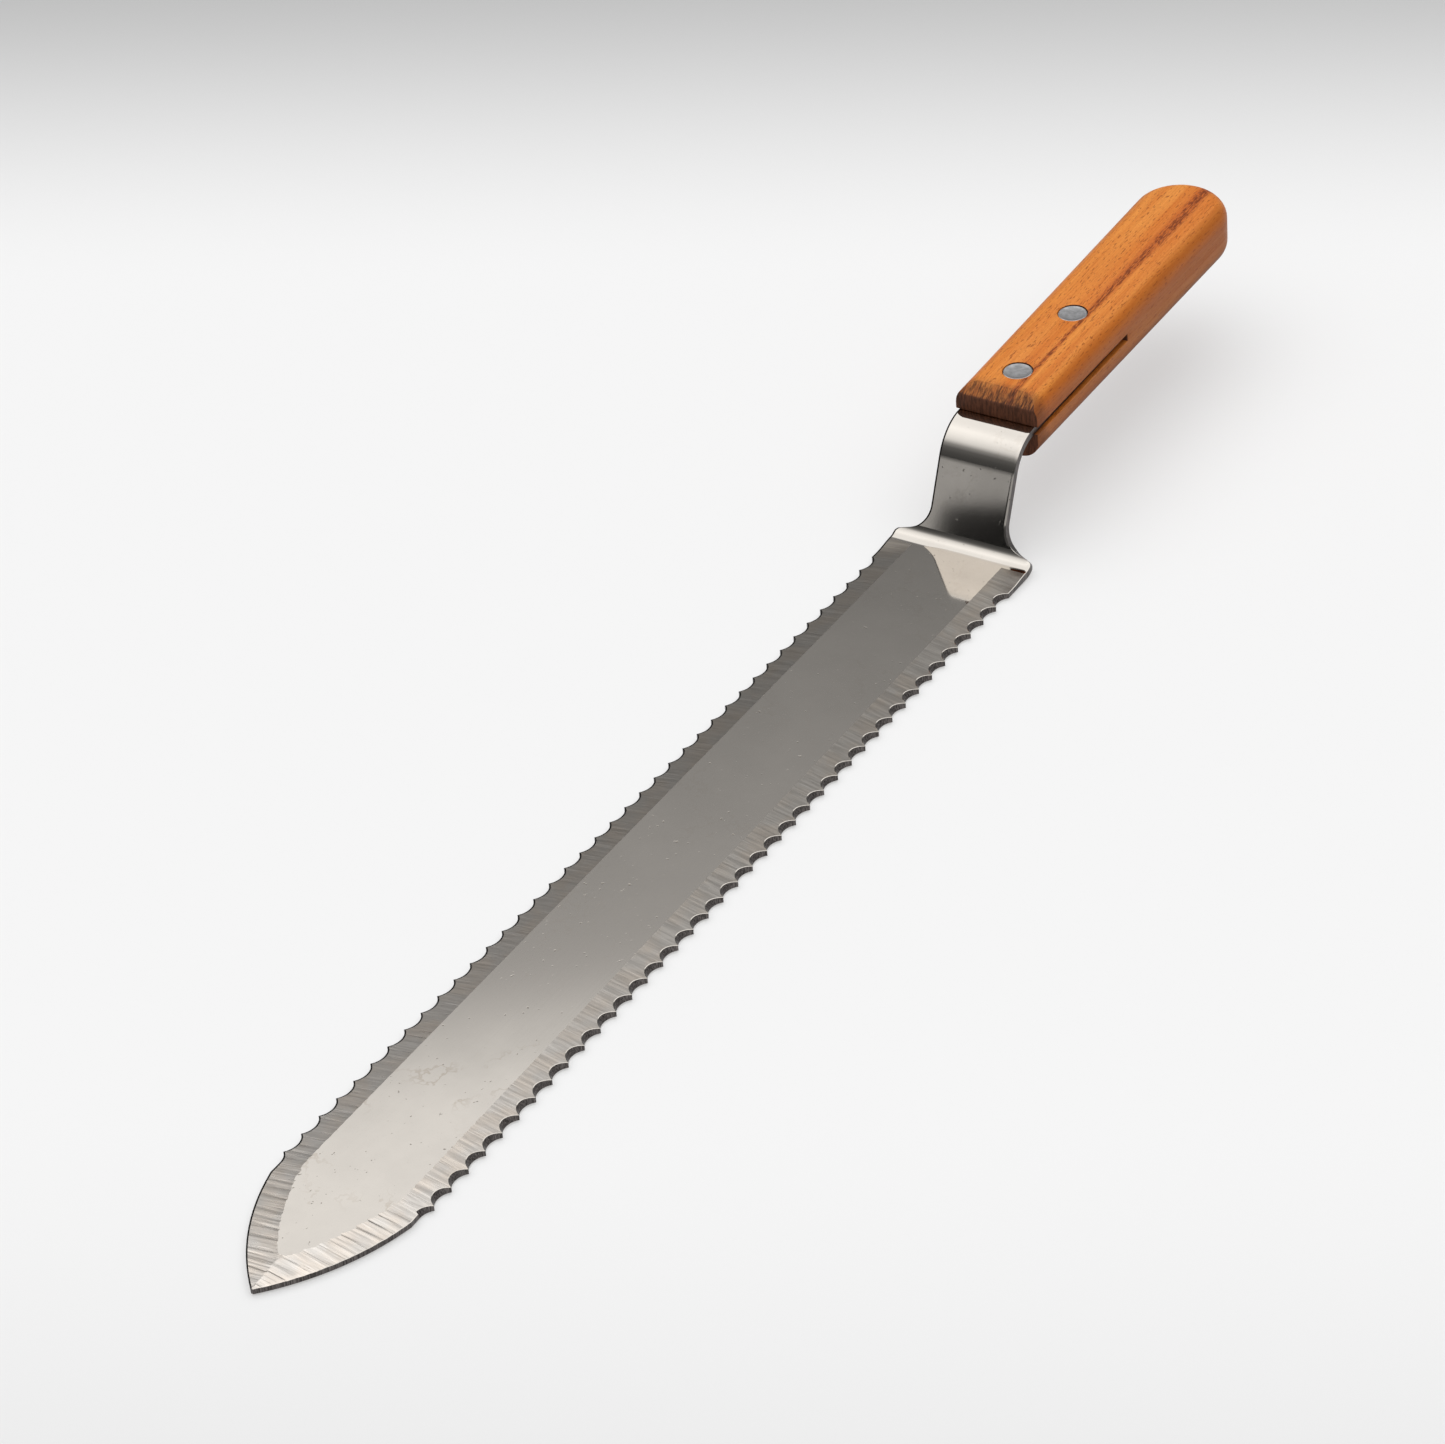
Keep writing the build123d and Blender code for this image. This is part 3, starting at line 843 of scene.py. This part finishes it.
def scallop_tree(materials):
    """Geometry Nodes that cut the scallops into both edges and finish each face."""
    tree = bpy.data.node_groups.new("scallops", "GeometryNodeTree")
    add_inputs(tree, dict.fromkeys(("Pitch", "Depth", "First cusp", "Slope"), "NodeSocketFloat"))
    w = Wiring(tree)
    given = w.node("NodeGroupInput").outputs
    pitch, depth = given["Pitch"], given["Depth"]
    place = w.parts(w.node("GeometryNodeInputPosition").outputs[0])
    half_pitch = w.math("MULTIPLY", pitch, 0.5)
    squares = w.math("ADD", w.math("POWER", half_pitch, 2.0), w.math("POWER", depth, 2.0))
    radius = w.math("DIVIDE", squares, w.math("MULTIPLY", depth, 2.0))
    teeth = w.math("DIVIDE", w.math("SUBTRACT", given["First cusp"], place[0]), pitch)
    from_trough = w.math("MULTIPLY", w.math("SUBTRACT", w.math("FRACT", teeth), 0.5), pitch)
    inside = w.math("SUBTRACT", w.math("POWER", radius, 2.0), w.math("POWER", from_trough, 2.0))
    inset = w.math("SUBTRACT", w.math("SQRT", inside), w.math("SUBTRACT", radius, depth))
    shares = []
    for name in ("edge_share", "rise_share"):
        share = w.node("GeometryNodeInputNamedAttribute", {"Name": name}, data_type="FLOAT")
        shares.append(w.math("MULTIPLY", share.outputs[0], inset))
    inward = w.math("MULTIPLY", w.math("MULTIPLY", w.math("SIGN", place[1]), -1.0), shares[0])
    upward = w.math("MULTIPLY", shares[1], given["Slope"])
    offset = w.node("ShaderNodeCombineXYZ", {"Y": inward, "Z": upward}).outputs[0]
    moved = w.node("GeometryNodeSetPosition", {"Geometry": given["Geometry"], "Offset": offset}).outputs[0]
    result = w.node("GeometryNodeRealizeInstances", {"Geometry": moved}).outputs[0]
    finish = w.node("GeometryNodeInputNamedAttribute", {"Name": "finish"}, data_type="INT").outputs[0]
    for number, material in enumerate(materials):
        match = w.node("FunctionNodeCompare", data_type="INT", operation="EQUAL")
        w.put(match.inputs[2], finish)
        w.put(match.inputs[3], number)
        inputs = {"Geometry": result, "Selection": match.outputs[0], "Material": material}
        result = w.node("GeometryNodeSetMaterial", inputs).outputs[0]
    w.node("NodeGroupOutput", {"Geometry": result})
    return tree


def repeat_tree(material):
    """Geometry Nodes that set the same rivet part at even steps along the handle."""
    tree = bpy.data.node_groups.new("rivets along the handle", "GeometryNodeTree")
    vector = "NodeSocketVector"
    add_inputs(tree, {"Count": "NodeSocketInt", "Start": vector, "Step": vector, "Tilt": vector})
    w = Wiring(tree)
    given = w.node("NodeGroupInput").outputs
    inputs = {"Count": given["Count"], "Start Location": given["Start"], "Offset": given["Step"]}
    spots = w.node("GeometryNodeMeshLine", inputs, mode="OFFSET").outputs[0]
    inputs = {"Points": spots, "Instance": given["Geometry"], "Rotation": given["Tilt"]}
    placed = w.node("GeometryNodeInstanceOnPoints", inputs).outputs[0]
    real = w.node("GeometryNodeRealizeInstances", {"Geometry": placed}).outputs[0]
    done = w.node("GeometryNodeSetMaterial", {"Geometry": real, "Material": material}).outputs[0]
    w.node("NodeGroupOutput", {"Geometry": done})
    return tree


def finish_piece(piece, slot, *nodes):
    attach(piece, "root")
    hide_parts(*nodes)


class KNIFE_OT_blade(bpy.types.Operator):
    """Build the blade, neck and tang from one sheet."""

    bl_idname = "knife.blade"
    bl_label = "Blade, neck and tang"

    def execute(self, context):
        sizes = context.scene.knife
        blade = sizes.blade
        line = SheetLine(sizes)
        vertices, faces, finishes, edge_share, rise_share = blade_mesh(sizes, line)
        piece = new_piece("ground_blade", vertices, faces)
        mesh = piece.data
        mesh.attributes.new("edge_share", "FLOAT", "POINT").data.foreach_set("value", edge_share)
        mesh.attributes.new("rise_share", "FLOAT", "POINT").data.foreach_set("value", rise_share)
        mesh.attributes.new("finish", "INT", "FACE").data.foreach_set("value", finishes)
        # painted shade: the cut walls get near-black tones
        cut = cut_steel("cut_steel", tuple(blade.cut), scaled(blade.cut, 3.8))
        # painted shade: the corner along the edge ground from below gets darker tones still
        painted_shade_corner = cut_steel("painted_shade_corner_steel", scaled(blade.cut, 0.4), scaled(blade.cut, 0.9))
        materials = [rolled_steel(blade), ground_steel(blade), cut, painted_shade_corner]
        scallops = piece.modifiers.new("scallops", "NODES")
        scallops.node_group = scallop_tree(materials)
        set_input(scallops, "Pitch", blade.tooth_pitch)
        set_input(scallops, "Depth", blade.tooth_depth)
        set_input(scallops, "First cusp", line.first_cusp_x)
        set_input(scallops, "Slope", blade.bevel_drop / blade.bevel_width)
        make_plain(piece)
        for name in ("edge_share", "rise_share", "finish"):
            left = piece.data.attributes.get(name)
            if left:
                piece.data.attributes.remove(left)
        rivets = sizes.rivets
        hole = rivets.tube_diameter / 2 + rivets.tang_clearance
        profile = [(0.0, -blade.sheet), (hole, -blade.sheet), (hole, blade.sheet), (0.0, blade.sheet)]
        cut_away(piece, rivet_cutters(rivets, profile, 48, line.handle_placing()))
        make_normals_outward(piece)
        shade(piece, math.radians(24.0))
        finish_piece(piece, "stainless_steel", "blade")
        return {"FINISHED"}


def wood_levels(sizes):
    """Half the kerf, and the heights of the wood's top and bottom from the tang's middle."""
    kerf = sizes.blade.sheet / 2 + sizes.handle.kerf_clearance
    return kerf, kerf + sizes.handle.cheek_above, -kerf - sizes.handle.cheek_below


def rivet_cutters(rivets, profile, segments, placing):
    """Turned cutters, one at each rivet."""
    cutters = []
    for number in range(rivet_count):
        place = Matrix.Translation((rivets.front_place + number * rivets.spacing, 0.0, 0.0))
        cutter = lathe("rivet_cutter", profile, segments, placing @ place)
        make_normals_outward(cutter)
        cutters.append(cutter)
    return cutters


def handle_outline(handle, inset, side_steps, butt_steps):
    """Plan outline from one front corner round the butt to the other, drawn in by inset."""
    front = handle.front_width / 2 - inset
    butt = handle.butt_width / 2
    butt_x = handle.length - butt
    points = [(x, -(front + (butt - inset - front) * x / butt_x)) for x in spread(0.0, butt_x, side_steps)]
    for turn in spread(-math.pi / 2, math.pi / 2, butt_steps)[1:-1]:
        points.append((butt_x + (butt - inset) * math.cos(turn), (butt - inset) * math.sin(turn)))
    points += [(x, front + (butt - inset - front) * x / butt_x) for x in spread(butt_x, 0.0, side_steps)]
    return points


def handle_block(sizes, placing):
    """Rounded block before the kerf, the front bevel and the rivet holes are cut."""
    handle = sizes.handle
    _, top, bottom = wood_levels(sizes)
    radius = handle.edge_radius
    turns = spread(0.0, math.pi / 2, 10)
    quarter = [(radius * (1 - math.cos(turn)), radius * (1 - math.sin(turn))) for turn in turns]
    levels = [(inset, top - drop) for inset, drop in reversed(quarter)]
    levels += [(0.0, z) for z in spread(top - radius, bottom + radius, 4)[1:-1]]
    levels += [(inset, bottom + rise) for inset, rise in quarter]
    vertices, faces, rings = [], [], []
    for inset, z in levels:
        outline = handle_outline(handle, inset, 30, 40)
        rings.append([len(vertices) + step for step in range(len(outline))])
        vertices += [placing @ Vector((x, y, z)) for x, y in outline]
    for upper, lower in zip(rings, rings[1:]):
        for step in range(len(upper) - 1):
            faces.append((upper[step], lower[step], lower[step + 1], upper[step + 1]))
    faces.append(tuple(rings[0]))
    faces.append(tuple(reversed(rings[-1])))
    faces.append(tuple([ring[0] for ring in reversed(rings)] + [ring[-1] for ring in rings]))
    return new_piece("beech_handle", vertices, faces)


def prism(name, corners, half, placing):
    """Prism across the handle. corners are (x, z) in its own axes."""
    vertices = [placing @ Vector((x, y, z)) for y in (-half, half) for x, z in corners]
    count = len(corners)
    faces = [tuple(range(count)), tuple(reversed(range(count, 2 * count)))]
    for step in range(count):
        after = (step + 1) % count
        faces.append((step, step + count, after + count, after))
    made = new_piece(name, vertices, faces)
    make_normals_outward(made)
    return made


class KNIFE_OT_handle(bpy.types.Operator):
    """Build the beech handle with its kerf, front bevel and rivet seats."""

    bl_idname = "knife.handle"
    bl_label = "Beech handle"

    def execute(self, context):
        sizes = context.scene.knife
        handle, rivets = sizes.handle, sizes.rivets
        placing = SheetLine(sizes).handle_placing()
        kerf, top, bottom = wood_levels(sizes)
        piece = handle_block(sizes, placing)
        make_normals_outward(piece)
        spare = 1 * mm
        half = handle.butt_width / 2 + spare
        foot = top - handle.bevel_depth
        slope = [(-spare, foot - handle.bevel_depth * spare / handle.bevel_length)]
        slope += [(handle.bevel_length + spare, top + handle.bevel_depth * spare / handle.bevel_length)]
        slope += [(handle.bevel_length + spare, top + 3 * spare), (-spare, top + 3 * spare)]
        slot = [(-spare, -kerf), (handle.kerf_depth, -kerf), (handle.kerf_depth, kerf), (-spare, kerf)]
        cutters = [prism("front bevel", slope, half, placing), prism("kerf", slot, half, placing)]
        head = rivets.head_diameter / 2 + rivets.wood_clearance
        tube = rivets.tube_diameter / 2 + rivets.wood_clearance
        seat = rivets.head_height + rivets.sink
        profile = [(0.0, bottom - spare), (head, bottom - spare), (head, bottom + seat)]
        profile += [(tube, bottom + seat)]
        profile += [(tube, top - seat), (head, top - seat), (head, top + spare), (0.0, top + spare)]
        cut_away(piece, cutters + rivet_cutters(rivets, profile, 64, placing))
        self.round_corners(piece, placing, handle)
        make_normals_outward(piece)
        piece.data.materials.clear()
        grain = placing.to_3x3() @ Vector((1.0, 0.0, 0.0))
        piece.data.materials.append(oiled_beech(handle, grain, placing.translation.dot(grain)))
        shade(piece, math.radians(32.0))
        low = min(vertex.co.x for vertex in piece.data.vertices)
        if abs(low - handle_low.x) > 0.2 * mm:
            raise RuntimeError("the handle's butt is not where the frame has it")
        finish_piece(piece, "beech", "handle")
        return {"FINISHED"}

    def round_corners(self, piece, placing, handle):
        """Rounds the front face's edges, and breaks the other sharp edges a little."""
        back = placing.inverted()
        shaped = bmesh.new()
        shaped.from_mesh(piece.data)
        bmesh.ops.remove_doubles(shaped, verts=shaped.verts, dist=0.001 * mm)
        weights = shaped.edges.layers.float.new("bevel_weight_edge")
        for edge in shaped.edges:
            if len(edge.link_faces) != 2 or edge.calc_face_angle(0.0) < math.radians(28.0):
                continue
            spots = [back @ corner.co for corner in edge.verts]
            in_front = all(abs(spot.x) < 0.01 * mm for spot in spots)
            rim = all(abs(spot.z) > 2 * mm or abs(spot.y) > 9 * mm for spot in spots)
            edge[weights] = 1.0 if in_front and rim else 0.3
        shaped.to_mesh(piece.data)
        shaped.free()
        bevel = piece.modifiers.new("rounding", "BEVEL")
        bevel.limit_method = "WEIGHT"
        bevel.width = handle.front_rounding
        bevel.segments = 3
        bevel.use_clamp_overlap = True
        make_plain(piece)


def rivet_profile(rivets, shank_radius, shank_length):
    """Half section of a dished head on its shank, from the shank's end to the head's middle."""
    radius = rivets.head_diameter / 2
    edge = 0.25 * mm
    rim = radius - edge
    top = rivets.head_height
    floor = top - rivets.dish
    profile = [(shank_radius, -shank_length), (shank_radius, 0.0), (radius, 0.0), (radius, top - edge)]
    profile += [(radius - edge * 0.3, top - edge * 0.3), (rim, top), (rim - 0.2 * mm, top - 0.02 * mm)]
    for share in (0.82, 0.66, 0.45, 0.22):
        profile.append((rim * share, floor + (top - floor) * share**6))
    profile.append((0.0, floor))
    return profile


class KNIFE_OT_rivets(bpy.types.Operator):
    """Build the rivet pins and the rivet tubes."""

    bl_idname = "knife.rivets"
    bl_label = "Rivets"

    def execute(self, context):
        sizes = context.scene.knife
        rivets = sizes.rivets
        _, top, bottom = wood_levels(sizes)
        seat = rivets.head_height + rivets.sink
        shank = top - bottom - 2 * seat - rivets.end_gap
        pin = rivets.pin_diameter / 2
        pin_profile = [(0.0, -shank)] + rivet_profile(rivets, pin, shank)
        bore = pin + rivets.pin_clearance
        tube_profile = [(0.0, 0.0), (bore, 0.0), (bore, -shank)]
        tube_profile += rivet_profile(rivets, rivets.tube_diameter / 2, shank)
        metal = dull_aluminium(rivets)
        self.place("rivet_pins", pin_profile, sizes, top - seat, 0.0, metal)
        self.place("rivet_tubes", tube_profile, sizes, bottom + seat, math.pi, metal)
        return {"FINISHED"}

    def place(self, name, profile, sizes, height, turn, metal):
        rivets = sizes.rivets
        placing = SheetLine(sizes).handle_placing()
        piece = lathe(name, profile, 72, Matrix.Identity(4))
        make_normals_outward(piece)
        back = placing.to_3x3() @ Vector((1.0, 0.0, 0.0))
        row = piece.modifiers.new("row", "NODES")
        row.node_group = repeat_tree(metal)
        set_input(row, "Count", rivet_count)
        set_input(row, "Start", placing @ Vector((rivets.front_place, 0.0, height)))
        set_input(row, "Step", back * rivets.spacing)
        set_input(row, "Tilt", Vector((0.0, sizes.handle.climb + turn, 0.0)))
        make_plain(piece)
        shade(piece, math.radians(28.0))
        part = name.removesuffix("s")
        finish_piece(piece, "rivet_aluminium", f"front_{part}", f"rear_{part}")


class KNIFE_OT_stage(bpy.types.Operator):
    """Set the floor, the lights and the camera."""

    bl_idname = "knife.stage"
    bl_label = "Floor, lights and camera"

    def execute(self, context):
        stage = context.scene.knife.stage
        heading = Vector((math.cos(stage.heading), math.sin(stage.heading), 0.0))
        # direction along which the floor's painted shade deepens
        fading = Vector((-0.90, -0.433, 0.0))
        self.floor(stage, fading)
        line = SheetLine(context.scene.knife)
        x = line.at((line.bend_end + line.neck_end) / 2)[0]
        card_way, card_distance = Vector((0.907, -0.42, 0.0)), 0.45
        self.card("dark_card", Vector((x, 0.0, 0.0)) + card_way * card_distance, card_way)
        self.sky(stage, -heading)
        self.ceiling(stage)
        self.camera(context, stage, heading)
        context.scene.view_settings.view_transform = "Standard"
        return {"FINISHED"}

    def floor(self, stage, back):
        """Round floor that curves up into a low wall."""
        flat, bend, wall, segments = 2.0, 0.3, 0.02, 96
        profile = [(0.35 * flat, 0.0), (0.7 * flat, 0.0), (flat, 0.0)]
        for turn in spread(0.0, math.pi / 2, 12)[1:]:
            profile.append((flat + bend * math.sin(turn), bend * (1 - math.cos(turn))))
        profile.append((flat + bend, bend + wall))
        vertices, faces, rings = [Vector((0.0, 0.0, 0.0))], [], []
        for radius, height in profile:
            rings.append([len(vertices) + step for step in range(segments)])
            for step in range(segments):
                turn = 2 * math.pi * step / segments
                vertices.append(Vector((radius * math.cos(turn), radius * math.sin(turn), height)))
        for step in range(segments):
            faces.append((0, rings[0][step], rings[0][(step + 1) % segments]))
        for inner, outer in zip(rings, rings[1:]):
            for step in range(segments):
                after = (step + 1) % segments
                faces.append((inner[step], outer[step], outer[after], inner[after]))
        vertices = [vertex - Vector((0.0, 0.0, stage.floor_gap)) for vertex in vertices]
        floor = new_piece("floor", vertices, faces)
        floor.data.shade_smooth()
        floor.data.materials.append(backdrop_paper(stage, back))

    def sky(self, stage, back):
        """Soft surroundings: bright overhead, dim lower down."""
        world = bpy.data.worlds.new("surroundings")
        world.use_nodes = True
        w = Wiring(world.node_tree)
        direction = w.node("ShaderNodeTexCoord").outputs["Generated"]
        lean = 0.143
        height = w.along(direction, (Vector((0.0, 0.0, 1.0)) + back * lean).normalized())
        # height above the horizon and brightness there, behind and ahead of the knife
        behind = {0.0: 0.33, 0.11: 0.10, 0.50: 0.10, 0.64: 0.15}
        behind |= {0.68: 0.26, 0.72: 0.37, 0.735: 0.80, 0.77: 1.0}
        ahead = {0.0: 0.33, 0.088: 0.38, 0.104: 0.05, 0.30: 0.07, 0.46: 0.11}
        ahead |= {0.58: 0.28, 0.70: 0.78, 0.80: 0.98, 0.92: 1.18, 1.0: 1.0}
        halves = [self.ramp(w, height, tones) for tones in (behind, ahead)]
        side = w.between(w.parts(direction)[0], -0.25, 0.15)
        background = world.node_tree.nodes["Background"]
        w.put(background.inputs["Color"], w.mix(side, *halves))
        background.inputs["Strength"].default_value = stage.sky
        bpy.context.scene.world = world

    def ramp(self, w, value, tones):
        made = w.node("ShaderNodeValToRGB", {"Fac": value})
        stops = made.color_ramp.elements
        while len(stops) < len(tones):
            stops.new(0.5)
        for stop, (place, tone) in zip(stops, tones.items()):
            stop.position = place
            stop.color = (tone, tone, tone, 1.0)
        return made.outputs[0]

    def ceiling(self, stage):
        """Large soft light overhead, which the polished metal doesn't mirror."""
        light = bpy.data.lights.new("ceiling", "AREA")
        light.shape = "DISK"
        light.size = 5.0
        light.energy = stage.ceiling
        lamp = bpy.data.objects.new("ceiling", light)
        lamp.location = (0.0, 0.0, 1.5)
        lamp.visible_glossy = False
        bpy.context.scene.collection.objects.link(lamp)

    def card(self, name, centre, facing):
        """Upright dark card that only the polished neck mirrors."""
        across = Vector((0.0, 0.0, 1.0)).cross(facing).normalized()
        left, right, foot, left_top, right_top = (size * mm for size in (-9, 81, 20, 79, 110))
        corners = [(left, foot), (right, foot), (right, right_top), (left, left_top)]
        vertices = [centre + across * y + Vector((0.0, 0.0, z)) for y, z in corners]
        card = new_piece(name, vertices, [(0, 1, 2, 3)])
        material, _, shader = new_material(name, Roughness=1.0)
        shader.inputs["Base Color"].default_value = (0.012, 0.012, 0.012, 1.0)
        card.data.materials.append(material)
        card.visible_camera = False
        card.visible_diffuse = False
        card.visible_shadow = False

    def camera(self, context, stage, heading):
        lens = bpy.data.cameras.new("camera")
        lens.lens = stage.lens
        lens.sensor_width = 36.0
        camera = bpy.data.objects.new("camera", lens)
        context.scene.collection.objects.link(camera)
        low, high = (Vector(corner) for corner in cad_box)
        off_middle = Vector((3 * mm, -16 * mm, 0.0))
        aim = Vector(((low.x + high.x) / 2, (low.y + high.y) / 2, 0.0)) + off_middle
        to_camera = heading * math.cos(stage.height) + Vector((0.0, 0.0, math.sin(stage.height)))
        turned = (-to_camera).to_track_quat("-Z", "Y").to_matrix().to_4x4()
        roll = Matrix.Rotation(stage.roll, 4, "Z")
        camera.matrix_world = Matrix.Translation(aim + to_camera * stage.distance) @ turned @ roll
        context.scene.camera = camera


class KNIFE_PT_panel(bpy.types.Panel):
    """Buttons and sizes for the knife."""

    bl_idname = "KNIFE_PT_panel"
    bl_label = "Knife"
    bl_space_type = "VIEW_3D"
    bl_region_type = "UI"
    bl_category = "Knife"

    def draw(self, context):
        layout = self.layout
        sizes = context.scene.knife
        for operator in (KNIFE_OT_blade, KNIFE_OT_handle, KNIFE_OT_rivets, KNIFE_OT_stage):
            layout.operator(operator.bl_idname)
        for group in (sizes.blade, sizes.neck, sizes.handle, sizes.rivets, sizes.stage):
            box = layout.box()
            for name in group.__annotations__:
                box.prop(group, name)


classes = (
    KnifeBladeSizes,
    KnifeNeckSizes,
    KnifeHandleSizes,
    KnifeRivetSizes,
    KnifeStageSizes,
    KnifeSizes,
    KNIFE_OT_blade,
    KNIFE_OT_handle,
    KNIFE_OT_rivets,
    KNIFE_OT_stage,
    KNIFE_PT_panel,
)


def register():
    for kind in classes:
        bpy.utils.register_class(kind)
    bpy.types.Scene.knife = PointerProperty(type=KnifeSizes)


def unregister():
    del bpy.types.Scene.knife
    for kind in reversed(classes):
        bpy.utils.unregister_class(kind)


def main():
    register()
    bpy.ops.knife.blade()
    bpy.ops.knife.handle()
    bpy.ops.knife.rivets()
    bpy.ops.knife.stage()


if __name__ == "__main__":
    main()
